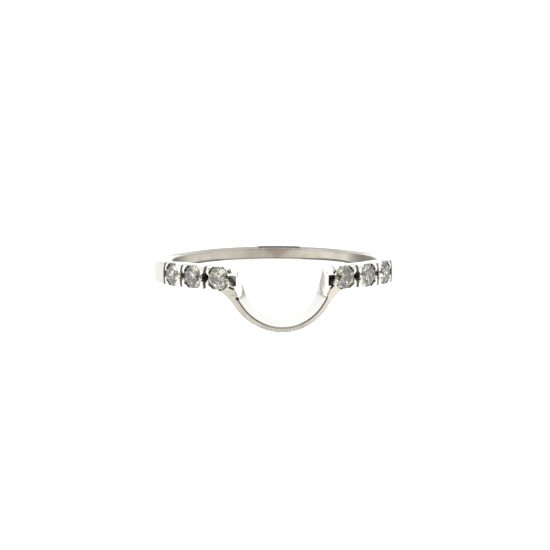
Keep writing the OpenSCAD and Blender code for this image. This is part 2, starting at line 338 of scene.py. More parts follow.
# %% [markdown]
# ## Seats, pockets and claws
#
# Each diamond sits in a well that is as wide as the shoulder, so the metal on both sides is nearly cut
# through. What is left between two stones is opened by a pocket and split by a saw cut, and the four
# corners that remain are the claws. The jeweller pushes their tops over the stone's edge and files them
# round. The saw wandered a little, so the tops of the cuts bend towards the dip.
#
# All of it could be filed away from one block, as the jeweller does. It is shorter to describe the other
# way: the wells and pockets are cut first, and then the wedges that the file would have left are put back.
#
# Every one of these is described on the outside at its own angle. `seen_from_outside` turns points so that
# X runs along the ring, Y up the shoulder and Z out of it. The left shoulder mirrors the right one,
# so we only ever look at the size of x.

# %% Places along the shoulder
STONE_R = 0.95
GIRDLE = 0.057
STONE_SINK = 0.14
STONE_GAP = 0.68
WINDOW_W = 0.61
FRONT_RISE_DEG = 3
END_CUT_BACK_DEG = 0.1

ROW_R = OUTER_R + OUTER_SHIFT
STONE_PITCH = math.degrees((2 * STONE_R + STONE_GAP) / ROW_R)
WALL_DEG = math.degrees(math.asin((NOTCH_HALF + WALL_T) / ROW_R))
stone_deg = [WALL_DEG + math.degrees((WINDOW_W + STONE_R) / ROW_R) + i * STONE_PITCH for i in range(3)]
cut_deg = [d + STONE_PITCH / 2 for d in stone_deg]
cut_deg[2] -= END_CUT_BACK_DEG


def outer_reach(deg):
    """Distance from the finger axis to the outside at an angle from the front."""
    a = math.radians(deg)
    return OUTER_SHIFT * math.cos(a) + math.sqrt(OUTER_R**2 - (OUTER_SHIFT * math.sin(a)) ** 2)


def middle_z(deg):
    """Height of the shoulder's middle at an angle from the front."""
    return outer_reach(deg) * math.cos(math.radians(deg)) * math.tan(math.radians(FRONT_RISE_DEG))


def seen_from_outside(x, y, z, deg, reach, height):
    """Points as lengths along the ring, up the shoulder and out of it, at an angle from the front."""
    a = math.radians(deg)
    x = np.abs(x)
    return x * math.cos(a) + y * math.sin(a), z - height, x * math.sin(a) - y * math.cos(a) - reach


def seen_from_stone(x, y, z, i):
    """The same, from the middle of a stone's edge."""
    deg = stone_deg[i]
    return seen_from_outside(x, y, z, deg, outer_reach(deg) - STONE_SINK, middle_z(deg))


print("stones at degrees from the front:", [round(d, 1) for d in stone_deg])

# %% Wells and seats
SEAT_GAP = 0.02
CROWN_DEG = 34.5
PAVILION_DEG = 40.75
PILOT_R = 0.4
PILOT_TOP = -0.3


def well(x, y, z, i):
    """The straight hole that a stone is let down through."""
    along, high, out = seen_from_stone(x, y, z, i)
    return np.maximum(np.hypot(along, high) - STONE_R - 2 * SEAT_GAP, -out - GIRDLE - 2 * SEAT_GAP)


def seat(x, y, z, i):
    """Room for the stone itself: its edge, its crown and its pointed pavilion, and the hole below."""
    along, high, out = seen_from_stone(x, y, z, i)
    r = np.hypot(along, high)
    wide = STONE_R + SEAT_GAP
    crown, pavilion = math.radians(CROWN_DEG), math.radians(PAVILION_DEG)
    over = (r - wide) * math.sin(crown) + (out - SEAT_GAP) * math.cos(crown)
    under = (r - wide) * math.sin(pavilion) - (out + GIRDLE + SEAT_GAP) * math.cos(pavilion)
    room = np.maximum(np.maximum(over, under), r - wide)
    return np.minimum(room, np.maximum(r - PILOT_R, out - PILOT_TOP))


print("stone across the edge in mm:", 2 * STONE_R)

# %% Claws
CLAW_CLEAR = 0.05
CLAW_OVER = 0.16
CLAW_END = 1.18
CLAW_DEEP = 0.7

# The slanted side that makes a claw a wedge: a point on it, and its direction as two shares
TIP_AT = (0.97, 0.22)
TIP_SLOPE = (0.74, 0.67)

# The round that the claws' tops are filed to, along, up and out from the stone's middle
DOME_AT = (0.92, 0.5, -0.36)
DOME_R = 0.5
DOME_FLAT = 0.6


def near(distance, full, none):
    """One up to a distance, zero from another one on."""
    return 1 - fade(full, none, distance)


def claws(x, y, z, i):
    """The four claws of a stone: wedges between the stone's edge and the saw cut, with domed tops."""
    along, high, out = seen_from_stone(x, y, z, i)
    a, h = np.abs(along), np.abs(high)
    beside_stone = STONE_R + CLAW_CLEAR - CLAW_OVER * near(h, 0.2, 0.6) - np.hypot(a, h)
    tip = TIP_SLOPE[0] * (a - TIP_AT[0]) - TIP_SLOPE[1] * (h - TIP_AT[1])
    wedge = round_edge(round_edge(beside_stone, a - CLAW_END, 0.05), tip, 0.08)
    up_dome = DOME_FLAT * (h - DOME_AT[1])
    dome = np.sqrt((a - DOME_AT[0]) ** 2 + up_dome**2 + (out - DOME_AT[2]) ** 2) - DOME_R
    return round_edge(np.maximum(wedge, -out - CLAW_DEEP), dome, 0.06)


print("claws:", 2 * 4 * len(stone_deg))

# %% Saw cuts
CUT_WIDE = (0.26, 0.29, 0.44)
CUT_DEEP = 0.95
CUT_BEND = 0.14


def saw_cut(x, y, z, deg, wide):
    """A narrow cut right across the shoulder, whose top bends towards the dip."""
    along, high, out = seen_from_outside(x, y, z, deg, outer_reach(deg), middle_z(deg))
    bent = np.abs(along + CUT_BEND * fade(0.25, 1.0, high))
    return np.maximum(bent - wide / 2, -out - CUT_DEEP)


def saw_cuts(x, y, z):
    """All saw cuts of a row."""
    return np.minimum.reduce([saw_cut(x, y, z, d, w) for d, w in zip(cut_deg, CUT_WIDE)])


print("saw cuts at degrees from the front:", [round(d, 1) for d in cut_deg])

# %% Pockets and windows
POCKET_LAP = 0.1
POCKET_HIGH = 0.68
POCKET_DEEP = 1.2
POCKET_EDGE_R = 0.08
WINDOW_Z = 0.33
WINDOW_HIGH = 0.84
WINDOW_DEEP = 0.9
WINDOW_TURN_DEG = 12


def turned(a, b, turn_deg):
    """Two lengths across each other, seen after a turn."""
    c, s = math.cos(math.radians(turn_deg)), math.sin(math.radians(turn_deg))
    return a * c + b * s, b * c - a * s


def pocket(x, y, z, start, stop, height, high_mm, deep_mm, turn_deg=0.0):
    """A box let into the outside between two angles, turned away from the finger axis if asked."""
    deg = (start + stop) / 2
    along, high, out = seen_from_outside(x, y, z, deg, outer_reach(deg), height)
    along, out = turned(along, out, turn_deg)
    half = math.radians(stop - start) * ROW_R / 2
    mouth = round_edge(np.abs(along) - half, np.abs(high) - high_mm / 2, POCKET_EDGE_R)
    return np.maximum(mouth, -out - deep_mm)


def pockets(x, y, z):
    """One beyond each stone, and the window between the first stone and the end wall."""
    under_edge = math.degrees((STONE_R - POCKET_LAP) / ROW_R)
    end_cut = cut_deg[2] + math.degrees(CUT_WIDE[2] / 2 / ROW_R)
    stops = [stone_deg[1] - under_edge, stone_deg[2] - under_edge, end_cut]
    window_stop = stone_deg[0] - under_edge
    shapes = [
        pocket(x, y, z, WALL_DEG, window_stop, WINDOW_Z, WINDOW_HIGH, WINDOW_DEEP, WINDOW_TURN_DEG)
    ]
    for start, stop, cut in zip(stone_deg, stops, cut_deg):
        shapes.append(pocket(x, y, z, start + under_edge, stop, middle_z(cut), POCKET_HIGH, POCKET_DEEP))
    return np.minimum.reduce(shapes)


print("the windows start at degrees from the front:", round(WALL_DEG, 1))

# %% [markdown]
# ## Traces of the maker's hand
#
# The two ends of the dip aren't quite alike. A slit above and one below each window freed the claw there,
# and a shallow crease runs down from it where the end wall was let into the strip's foot. On the left
# the solder left a small pit and a seam. Dark marks in the material would be a quick way to show them, but
# a real groove also catches the light at its edges. Each is a short line on the outside, so one function
# makes them all.

# %% Slits, creases and a seam
LEFT, RIGHT = -1, 1

# Side, place beyond the end wall, height, turn from upright in degrees, width, length and depth
deep_lines = (
    (LEFT, 0.56, 1.05, -45, 0.12, 0.28, 0.3),
    (RIGHT, 0.5, 0.98, -39, 0.12, 0.32, 0.3),
    (LEFT, 0.36, -0.25, -68, 0.13, 0.44, 0.3),
    (RIGHT, 0.3, -0.19, -44, 0.13, 0.4, 0.3),
    (LEFT, -0.12, -1.12, -60, 0.16, 0.34, 0.3),
)
fine_lines = (
    (LEFT, 0.06, -0.48, -28, 0.05, 0.62, 0.04),
    (RIGHT, 0.05, -0.5, -24, 0.06, 0.6, 0.05),
    (LEFT, 0.15, -0.77, 90, 0.06, 0.55, 0.05),
)


def line(x, y, z, side, from_wall, height, turn_deg, wide, long, deep):
    """A groove on the outside, at a distance beyond the end wall, turned from upright."""
    deg = math.degrees(math.asin((NOTCH_HALF + WALL_T + from_wall) / ROW_R))
    along, high, out = seen_from_outside(x, y, z, deg, outer_reach(deg), height)
    along, high = turned(along, high, turn_deg)
    mouth = round_edge(np.abs(along) - wide / 2, np.abs(high) - long / 2, wide / 3)
    return np.where(x * side < 0, 1.0, np.maximum(mouth, -out - deep))


def lines(x, y, z, table):
    """All lines of a table."""
    return np.minimum.reduce([line(x, y, z, *row) for row in table])


print("lines beside the windows:", len(deep_lines) + len(fine_lines))

# %% [markdown]
# ## The whole band as one distance
#
# Now the shapes go together in the order a jeweller would work: the blank with its bent strip, the wells
# and cuts, the claws, and last the finger hole, the dip and the seats, which are cleaned out through all
# of it.

# %% Band
CUT_EDGE_R = 0.05
LINE_EDGE_R = 0.03
CLAW_EDGE_R = 0.06
HOLE_EDGE_R = 0.07
WALL_EDGE_R = 0.04
DIP_EDGE_R = 0.1
SEAT_EDGE_R = 0.02


def band_distance(points):
    """Distance to the band's surface, below zero in the metal."""
    x, y, z = points[..., 0], points[..., 1], points[..., 2]
    sides = both_sides(x, y, z)
    cuts = saw_cuts(x, y, z)
    metal = round_edge(outside(x, y, z), sides, edge_radius(z))
    for i in range(3):
        metal = carve(metal, well(x, y, z, i), CUT_EDGE_R)
    metal = carve(metal, np.minimum(cuts, pockets(x, y, z)), CUT_EDGE_R)
    for i in range(3):
        top = round_edge(claws(x, y, z, i), sides, CLAW_EDGE_R)
        metal = hollow_joint(metal, top, LINE_EDGE_R)
    metal = carve(metal, cuts, LINE_EDGE_R)
    metal = carve(metal, np.minimum(lines(x, y, z, fine_lines), lines(x, y, z, deep_lines)), LINE_EDGE_R)
    metal = carve(metal, finger_hole(x, y, z), HOLE_EDGE_R)
    metal = round_edge(metal, wall_drop(x, z), WALL_EDGE_R)
    metal = carve(metal, dip_space(x, y, z), DIP_EDGE_R)
    for i in range(3):
        metal = carve(metal, seat(x, y, z, i), SEAT_EDGE_R)
    return metal


print("distance at the middle of the back's metal:", band_distance(np.array([[0, 9.3, 0]])).round(2))

# %% [markdown]
# ## Wrapping a mesh round it
#
# The distance is sampled on a grid that bends round the finger: fine steps across the jewelled shoulders
# and near the outside, long ones along the plain back, where nothing changes. In every cell that the
# surface passes through we put one vertex, and round every grid line that it crosses we put one face. Each
# vertex then slides along the steepest slope until it lies on the zero level, so flat metal comes out flat.
#
# Where two cuts meet, metal can be left that touches itself only along an edge. A real ring has no such
# place, and a mesh can't close round it, so those grid points are filled with metal first.

# %% Sampling grid
# Steps in mm, and one in degrees for the plain back
FINE, MIDDLE, COARSE = 0.0535, 0.064, 0.09
BACK_STEP_DEG = 1.1

# The distance is worked out for one part of the grid after another, which takes less memory
GRID_PARTS = 24


def steps(*stretches):
    """Grid lines over stretches that each give a start, an end and a step. The last end is left out."""
    parts = [np.linspace(a, b, round((b - a) / step), endpoint=False) for a, b, step in stretches]
    return np.concatenate(parts)


def around(mm):
    """A length on the outside as degrees round the finger."""
    return math.degrees(mm / OUTER_R)


def round_finger(deg, r, z):
    """Points at angles from the front, distances from the finger axis and heights."""
    a = np.radians(deg)
    return np.stack(np.broadcast_arrays(r * np.sin(a), -r * np.cos(a), z), -1)


# The rows of stones lie between 20 and 67 degrees from the front, on both sides
angle = steps(
    (-67, -20, around(FINE)),
    (-20, 20, around(MIDDLE)),
    (20, 67, around(FINE)),
    (67, 80, around(COARSE)),
    (80, 280, BACK_STEP_DEG),
    (280, 293, around(COARSE)),
)

# Both reach a little past the metal on each side
radius = steps((8.45, 9.8, COARSE), (9.8, 10.85, FINE))
height = steps((-4.1, -1.0, MIDDLE), (-1.0, 1.8, FINE))

grid = round_finger(angle[:, None, None], radius[None, :, None], height[None, None, :])
level = np.concatenate([band_distance(part) for part in np.array_split(grid, GRID_PARTS)])
print("grid:", level.shape, "inside:", int((level < 0).sum()))

# %% Fill where metal touches itself only along an edge
JUST_INSIDE = -0.001


def fill_pinches(level):
    """Fills one round of such grid points. Returns how many pinches it found."""
    filled = 0
    for u, v in ((0, 1), (0, 2), (1, 2)):
        metal = level < 0
        beside, above = np.roll(metal, -1, u), np.roll(metal, -1, v)
        across = np.roll(beside, -1, v)
        # Two opposite corners of a grid square are metal, and the other two aren't
        pinch = (metal == across) & (beside == above) & (metal != beside)
        level[pinch & ~metal] = JUST_INSIDE
        level[np.roll(pinch & metal, 1, u)] = JUST_INSIDE
        filled += int(pinch.sum())
    return filled


print("pinches filled, round by round:", [fill_pinches(level) for _ in range(3)])


# %% One vertex a cell, one face a crossing
def wrap(level, grid):
    """Vertices and four-cornered faces round the grid's zero level. The first axis is closed on itself."""
    ni, nj, nk = level.shape
    cells = ni * (nj - 1) * (nk - 1)
    total, hits, faces = np.zeros((cells, 3)), np.zeros(cells), []
    for axis, (u, v) in enumerate(((1, 2), (2, 0), (0, 1))):
        step = [int(axis == n) for n in range(3)]
        here = level[:, : nj - step[1], : nk - step[2]]
        there = np.roll(level, -1, 0) if axis == 0 else level[:, step[1]:, step[2]:]
        # The surface crosses a grid line that has metal at only one of its ends
        i, j, k = np.nonzero((here < 0) != (there < 0))
        a, b = here[i, j, k], there[i, j, k]
        first, second = grid[i, j, k], grid[(i + step[0]) % ni, j + step[1], k + step[2]]
        crossing = first + (second - first) * (a / (a - b))[:, None]
        # The vertices of the four cells round that line make the face
        ring = []
        for du, dv in ((0, 0), (-1, 0), (-1, -1), (0, -1)):
            at = [i, j, k]
            at[u] = at[u] + du
            at[v] = at[v] + dv
            ring.append((at[0] % ni * (nj - 1) + at[1]) * (nk - 1) + at[2])
        for cell in ring:
            hits += np.bincount(cell, minlength=cells)
            for n in range(3):
                total[:, n] += np.bincount(cell, crossing[:, n], minlength=cells)
        ring = np.stack(ring, 1)
        ring[a < 0] = ring[a < 0][:, ::-1]
        faces.append(ring)
    # A cell's vertex starts in the middle of all crossings on the cell's edges
    used = np.nonzero(hits)[0]
    number = np.zeros(cells, int)
    number[used] = np.arange(len(used))
    return total[used] / hits[used][:, None], number[np.concatenate(faces)]


verts, faces = wrap(level, grid)
print("vertices:", len(verts), "faces:", len(faces))

# %% Slide the vertices onto the surface
SLIDES = 4
LONGEST_SLIDE = 0.02
FLATTEST = 0.2


def slope_at(points, h=0.004):
    """The direction in which the distance grows, at each point."""
    shifts = np.eye(3) * h
    rises = [band_distance(points + s) - band_distance(points - s) for s in shifts]
    return np.stack(rises, -1) / (2 * h)


for _ in range(SLIDES):
    slope = slope_at(verts)
    size = np.maximum((slope**2).sum(-1), FLATTEST)
    move = np.clip(band_distance(verts) / size, -LONGEST_SLIDE, LONGEST_SLIDE)
    verts = verts - move[:, None] * slope
normals = slope_at(verts)
normals /= np.linalg.norm(normals, axis=-1, keepdims=True)
print("largest distance left in mm:", float(np.abs(band_distance(verts)).max().round(4)))

# %% Band mesh
corner = verts[faces]
across = np.cross(corner[:, 1] - corner[:, 0], corner[:, 2] - corner[:, 0])
if (across * slope_at(corner[:, 0])).sum() < 0:
    faces = faces[:, ::-1]

mesh = bpy.data.meshes.new("white_gold_band")
mesh.vertices.add(len(verts))
mesh.vertices.foreach_set("co", on_table(verts).astype(np.float32).ravel())
mesh.loops.add(faces.size)
mesh.loops.foreach_set("vertex_index", faces.astype(np.int32).ravel())
mesh.polygons.add(len(faces))
mesh.polygons.foreach_set("loop_start", np.arange(len(faces), dtype=np.int32) * faces.shape[1])
mesh.update(calc_edges=True)
mesh.validate()
mesh.shade_smooth()
mesh.normals_split_custom_set_from_vertices((normals @ np.array(lay_down).T).tolist())

band = bpy.data.objects.new("white_gold_band", mesh)
bpy.context.scene.collection.objects.link(band)
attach(band, "root")
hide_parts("band")
print("band:", len(band.data.polygons), "faces")

# %% [markdown]
# ## Where dirt and painted shade lie, and where the polish has gone
#
# Cloth and fingers keep the outside of a ring bright, but polish, soap and skin collect in the pockets and
# the saw cuts, where the colour is darkened by that dirt and by painted shade together. A painted shadow
# runs round under the stones' edges, and painted shade lies in the slits and creases, along the strip's
# front edges and on its feet. The back's upper side is darker, darkest along the piece that was let in when
# the ring was sized, and painted shade lies along the back's inner edges, inside its ends and towards its
# top. Painted grey stands on the claws, the end walls' insides and the sides of the shank.
#
# All this could be painted on by hand. But we know which vertices lie on those places, because the shapes
# that made them are still at hand. So each vertex keeps a number, from 0 on open metal to 1 where it is
# darkest, for the material to read.
#
# A second number says where the mirror has gone hazy: all over the finger side, and less so on the strip's
# front and feet, in the row's cuts, inside the end walls, and on the plain shank. A third one marks the
# solder that closed the ring at the back, which is a warmer colour than the gold.

# %% Dirt and painted shade in the cuts and pockets
# Shares of dirt and painted shade in the window and the three pockets, and in the three saw cuts,
# counted from the dip
POCKET_DIRT_AND_SHADE = (0.8, 1.0, 0.3, 0.3)
CUT_DIRT_AND_SHADE = (0.7, 0.6, 0.75)

# The left window gets less of it than the right one, and the right end cut more than the left one
LEFT_WINDOW = 0.45
RIGHT_END_CUT = 1.3


def from_front(x, y):
    """Degrees from the front, to either side."""
    return np.degrees(np.arctan2(np.abs(x), -y))


def row_dirt_and_shade(x, y, z):
    """Dirt and painted shade in the saw cuts and pockets, more in the pockets near the dip."""
    cuts = [k * near(saw_cut(x, y, z, d, w), 0.02, 0.1) for k, d, w in zip(CUT_DIRT_AND_SHADE, cut_deg, CUT_WIDE)]
    cuts[2] *= np.where(x > 0, RIGHT_END_CUT, 1.0)
    deg = from_front(x, y)
    in_pocket = near(pockets(x, y, z), 0.0, 0.05) * np.interp(deg, [stone_deg[0], *cut_deg], POCKET_DIRT_AND_SHADE)
    in_pocket *= np.where((x < 0) & (deg < stone_deg[0]), LEFT_WINDOW, 1.0)
    return np.maximum(np.maximum.reduce(cuts), in_pocket) * fade(-0.04, 0.06, -outside(x, y, z))


print("vertices with dirt in the row:", int((row_dirt_and_shade(*verts.T) > 0.25).sum()))

# %% Darkening and painted shade at the back
# Shares of darkening on the back's upper side, and of painted shade along its inner edges, towards its top
# and inside its ends
UPPER_SIDE, NOT_AT_ENDS = 0.56, 0.1
SIZED_X, SIZED = 0.95, 0.93
LOWER_EDGE, UPPER_EDGE, SHADE = 0.85, 0.45, 0.22
RIGHT_END, LEFT_END = 0.75, 0.8


def back_darkening(x, y, z):
    """Darker on the back's upper side, darkest where it was sized. Painted shade along its inner edges,
    inside its ends and towards its top.
    """
    finger, far = finger_hole(x, y, z), np.abs(x)
    top, low = top_line(y), low_line(y)
    on_top = near(top + SIZED_RISE * sized_piece(x, y) - z, 0.07, 0.12)
    sized = SIZED * near(np.abs(x - SIZED_X), 1.7, 2.25)
    upper = np.maximum(UPPER_SIDE + NOT_AT_ENDS * near(far, 5.2, 7.0), sized)
    upper = on_top * fade(3, 5, y) * fade(0.0, 0.04, finger) * upper
    # Painted shadow along the lower inner edge, and painted shade over the upper inner edge, inside the ends
    # and towards the top
    lower_edge = near(np.hypot(z - low, finger), 0.1, 0.18 + 0.16 * fade(3.5, 5, far)) * fade(0, 3, y)
    upper_edge = near(np.hypot(z - top, finger), 0.08, 0.2) * fade(0, 3, y)
    inside = near(finger, 0.0, 0.06) * fade(-1, 2, y)
    ends = inside * fade(6.4, 8.4, far + 0.6 * (x > 0)) * np.where(x > 0, RIGHT_END, LEFT_END)
    shade = SHADE * inside * fade(0.1, 1.0, (z - low) / (top - low))
    return np.maximum.reduce([upper, LOWER_EDGE * lower_edge, UPPER_EDGE * upper_edge, ends, shade])


print("vertices with dirt at the back:", int((back_darkening(*verts.T) > 0.5).sum()))

# %% Painted grey on the claws, the end walls and the shank
CLAW_GREY_REFLECTION = 0.12
RIGHT_WALL_SHADE, LEFT_WALL_SHADE = 0.5, 0.14
RIGHT_SHANK_SHADE, LEFT_SHANK_SHADE = 0.18, 0.28


def foot(x, z):
    """One where the underside of a shoulder runs down into the strip."""
    far = np.abs(x)
    return near(z, -0.15, 0.0) * fade(-0.05, 0.05, far - 3.9 - 0.4 * z) * near(far, 4.9, 5.4)


def claw_grey_reflection(x, y, z):
    """A faint painted grey reflection on the claws."""
    nearest = np.minimum.reduce([claws(x, y, z, i) for i in range(3)])
    return CLAW_GREY_REFLECTION * near(np.abs(nearest), 0.0, 0.06)


def wall_shade(x, y, z):
    """Painted grey shade inside the end walls. The right one has more of it."""
    on_wall = near(np.abs(dip_space(x, y, z)), 0.0, 0.06) * near(np.hypot(x, y), 9.7, 10.5)
    share = np.where(x > 0, RIGHT_WALL_SHADE, LEFT_WALL_SHADE)
    return share * on_wall * fade(-0.9, 0.1, z) * near(z, 0.7, 1.1)


def shank_shade(x, y):
    """Painted grey shade on the sides of the shank, more on the left."""
    return np.where(x > 0, RIGHT_SHANK_SHADE, LEFT_SHANK_SHADE) * fade(63, 67, from_front(x, y))


print("vertices on the strip's feet:", int((foot(verts[:, 0], verts[:, 2]) > 0.5).sum()))

# %% All dirt and painted shade together
# Shares of painted shade in the creases, along the strip's upper and lower front edge, and at its feet
CREASE = 0.3
RIM, RIM_AT_SIDES = 0.75, 0.25
LOW_RIM = 0.35
LEFT_FOOT_SHADE, RIGHT_FOOT_SHADE = 0.2, 0.08


def dirt_and_shade_share(points):
    """Dirt and painted shade: high in all cuts, below the stones' edges, along the strip's inner edge
    and on the back.
    """
    x, y, z = points[..., 0], points[..., 1], points[..., 2]
    stones = np.minimum.reduce([f(x, y, z, i) for f in (well, seat) for i in range(3)])
    out, finger = outside(x, y, z), finger_hole(x, y, z)
    # Painted shade in the slits and creases, and a painted shadow under the stones' edges
    in_line = near(lines(x, y, z, deep_lines), 0.0, 0.04) * fade(-0.04, 0.06, -out)
    in_crease = CREASE * near(lines(x, y, z, fine_lines), 0.0, 0.04)
    by_stone = near(stones, 0.02, 0.08) * fade(-0.01, 0.05, -out)
    # Painted shade as dark lines along the strip's upper and lower front edges, and on its feet
    rim = near(np.hypot(out, dip_space(x, y, z)), 0.05, 0.11) * near(z, -1.0, -0.85)
    rim = rim * (RIM + RIM_AT_SIDES * fade(1, 2, np.abs(x)))
    low_rim = LOW_RIM * near(np.hypot(out, both_sides(x, y, z)), 0.06, 0.16) * near(z, -0.8, -0.4)
    foot_shade = np.where(x < 0, LEFT_FOOT_SHADE, RIGHT_FOOT_SHADE) * foot(x, z) * near(-out, 0.04, 0.09)
    front = np.maximum.reduce(
        [row_dirt_and_shade(x, y, z), in_line, in_crease, by_stone, rim, low_rim, foot_shade, claw_grey_reflection(x, y, z)]
    )
    front = front * fade(0.02, 0.1, finger)
    return np.maximum.reduce([front, back_darkening(x, y, z), wall_shade(x, y, z), shank_shade(x, y)])


dirt_and_shade = dirt_and_shade_share(verts)
print("vertices with dirt:", int((dirt_and_shade > 0.5).sum()))

# %% Haze and solder
HAZY_FRONT, HAZY_ROW, HAZY_WALL, HAZY_SHANK = 0.95, 0.5, 0.25, 0.3
SOLDER_X, SOLDER_SPREAD = 0.75, 1.3


def haze_share(points):
    """One on the finger side, less on the strip's front and feet, in the row, on the walls and shank."""
    x, y, z = points[..., 0], points[..., 1], points[..., 2]
    dip, depth = np.abs(dip_space(x, y, z)), -outside(x, y, z)
    finger_side = near(finger_hole(x, y, z), 0.0, 0.05) * fade(0.12, 0.25, dip)
    front = np.maximum(foot(x, z), near(z, -1.0, -0.85)) * near(depth, 0.04, 0.09)
    in_row = near(np.minimum(saw_cuts(x, y, z), pockets(x, y, z)), 0.0, 0.05) * fade(0.0, 0.1, depth)
    wall = fade(-2.2, -1.0, z) * near(dip, 0.0, 0.05)
    shank = fade(62, 66, from_front(x, y))
    return np.maximum.reduce(
        [finger_side, HAZY_FRONT * front, HAZY_ROW * in_row, HAZY_WALL * wall, HAZY_SHANK * shank]
    )


def solder_share(points):
    """The warmer solder that ran down inside the back, in the shape of a V."""
    x, y, z = points[..., 0], points[..., 1], points[..., 2]
    top, low = top_line(y), low_line(y)
    from_middle = np.abs(x - SOLDER_X) - SOLDER_SPREAD * (z - low) / (top - low)
    return near(from_middle, -0.3, 0.2) * near(finger_hole(x, y, z), 0.0, 0.05) * fade(*BACK_Y, y)


for title, share in (("dirt_and_shade", dirt_and_shade), ("haze", haze_share(verts)), ("solder", solder_share(verts))):
    numbers = band.data.attributes.new(title, "FLOAT", "POINT")
    numbers.data.foreach_set("value", share.astype(np.float32))
    print("vertices with", title, "over a half:", int((share > 0.5).sum()))

# %% [markdown]
# ## The look of the gold
#
# White gold of this kind is plated with a bright white metal and polished, so it is close to a mirror. What
# makes it look worn is fine: soft dents you only notice in the reflections, a fine grain, and a duller,
# warmer surface inside, where a finger rubs it. The dents and the grain come from noise in the mesh's own
# coordinates, so the finish stays on the metal from every side.
#
# Dirt isn't metal. It is dark and matt, and it doesn't shine even where we look along it. The painted shade
# that shares its number is made the same way. So where the first number rises, the metallic share falls and
# the roughness grows, and the specular level, which only counts where the surface isn't metal, is zero. That
# level is the same all over, so it sits on the shader's socket.

# %% Helpers for materials and nodes
def new_material(name):
    """A material, its node tree and its shader."""
    material = bpy.data.materials.new(name)
    material.use_nodes = True
    tree = material.node_tree
    return material, tree, tree.nodes["Principled BSDF"]


def add_node(tree, kind, inputs=None, **settings):
    """A node with its settings, and its inputs either as values or joined to other nodes' outputs."""
    node = tree.nodes.new(kind)
    for key, value in settings.items():
        setattr(node, key, value)
    for key, value in (inputs or {}).items():
        if isinstance(value, bpy.types.NodeSocket):
            tree.links.new(value, node.inputs[key])
        else:
            node.inputs[key].default_value = value
    return node


print("the packed ring's materials:", sorted(m.name for m in bpy.data.materials if m.users))

# %% Helpers for values and colours
# A colour mix has its inputs and outputs for every kind of value, so they are found by number
MIX_SHARE, MIX_A, MIX_B, MIX_RESULT = 0, 6, 7, 2


def noise(tree, place, scale, detail):
    """Soft noise with so many waves to a metre."""
    inputs = {"Vector": place, "Scale": scale, "Detail": detail}
    return add_node(tree, "ShaderNodeTexNoise", inputs).outputs["Fac"]


def ranged(tree, value, low, high, to_low, to_high):
    """A value carried from one range to another, and held at its ends."""
    inputs = {"Value": value, "From Min": low, "From Max": high, "To Min": to_low, "To Max": to_high}
    return add_node(tree, "ShaderNodeMapRange", inputs).outputs["Result"]


def blend(tree, share, a, b):
    """Colour a where the share is zero, and colour b where it is one."""
    inputs = {MIX_SHARE: share, MIX_A: a, MIX_B: b}
    return add_node(tree, "ShaderNodeMix", inputs, data_type="RGBA").outputs[MIX_RESULT]


def maths(tree, kind, a, b):
    """Two values put together."""
    return add_node(tree, "ShaderNodeMath", {0: a, 1: b}, operation=kind).outputs[0]


def painted(tree, title):
    """One of the numbers that the vertices keep."""
    return add_node(tree, "ShaderNodeAttribute", attribute_name=title).outputs["Fac"]


print("sockets of the colour mix:", MIX_SHARE, MIX_A, MIX_B, MIX_RESULT)

# %% White gold
PLATED = (0.90, 0.90, 0.885, 1)
RUBBED = (0.77, 0.735, 0.64, 1)
MORE_RUBBED = (0.67, 0.63, 0.54, 1)
SOLDER = (0.56, 0.465, 0.385, 1)
# The colour of dirt, which also serves as painted shade
DIRT_AND_SHADE = (0.05, 0.046, 0.038, 1)
DIRT_AND_SHADE_ROUGHNESS = 0.6

# Waves to a metre
CLOUDS, DENTS, GRAIN = 900.0, 420.0, 9000.0

gold, tree, skin = new_material("white_gold")
place = add_node(tree, "ShaderNodeTexCoord").outputs["Object"]
clouds = noise(tree, place, CLOUDS, 3.0)
haze = painted(tree, "haze")
dirt_and_shade_level = painted(tree, "dirt_and_shade")

polished = ranged(tree, clouds, 0.35, 0.7, 0.07, 0.15)
hazy = ranged(tree, clouds, 0.3, 0.75, 0.26, 0.38)
polish = add_node(tree, "ShaderNodeMix", {"Factor": haze, "A": polished, "B": hazy}).outputs["Result"]
rough = maths(tree, "MAXIMUM", polish, ranged(tree, dirt_and_shade_level, 0.0, 1.0, 0.0, DIRT_AND_SHADE_ROUGHNESS))
tree.links.new(rough, skin.inputs["Roughness"])
tree.links.new(maths(tree, "SUBTRACT", 1.0, dirt_and_shade_level), skin.inputs["Metallic"])
skin.inputs["Specular IOR Level"].default_value = 0.0

rubbed = blend(tree, ranged(tree, clouds, 0.35, 0.65, 0.0, 1.0), RUBBED, MORE_RUBBED)
inner = blend(tree, painted(tree, "solder"), rubbed, SOLDER)
# The first number darkens the colour, as dirt and as painted shade
dulled_and_shaded = blend(tree, dirt_and_shade_level, blend(tree, haze, PLATED, inner), DIRT_AND_SHADE)
tree.links.new(dulled_and_shaded, skin.inputs["Base Color"])

dents = {"Height": noise(tree, place, DENTS, 1.0), "Strength": 0.25, "Distance": 0.02 * MM}
dented = add_node(tree, "ShaderNodeBump", dents).outputs["Normal"]
grain = {"Height": noise(tree, place, GRAIN, 2.0), "Strength": 0.1, "Distance": 0.002 * MM}
grained = add_node(tree, "ShaderNodeBump", {**grain, "Normal": dented}).outputs["Normal"]
tree.links.new(grained, skin.inputs["Normal"])
band.data.materials.append(gold)
print("white gold:", len(tree.nodes), "nodes")

# %% [markdown]
# ## The diamonds
#
# The CAD stones already have a brilliant's facets, so their meshes stay and only get a material. A diamond
# bends light more than any glass, with an index of 2.42, and that alone makes most of its bright and dark
# facets. Small stones on such a band are rarely clean: clouds inside them swallow part of the light, and
# what passes is faintly yellow.

# %% Diamond
CLEAR = (1.0, 0.955, 0.77, 1)
CLOUDED = (0.045, 0.04, 0.024, 1)

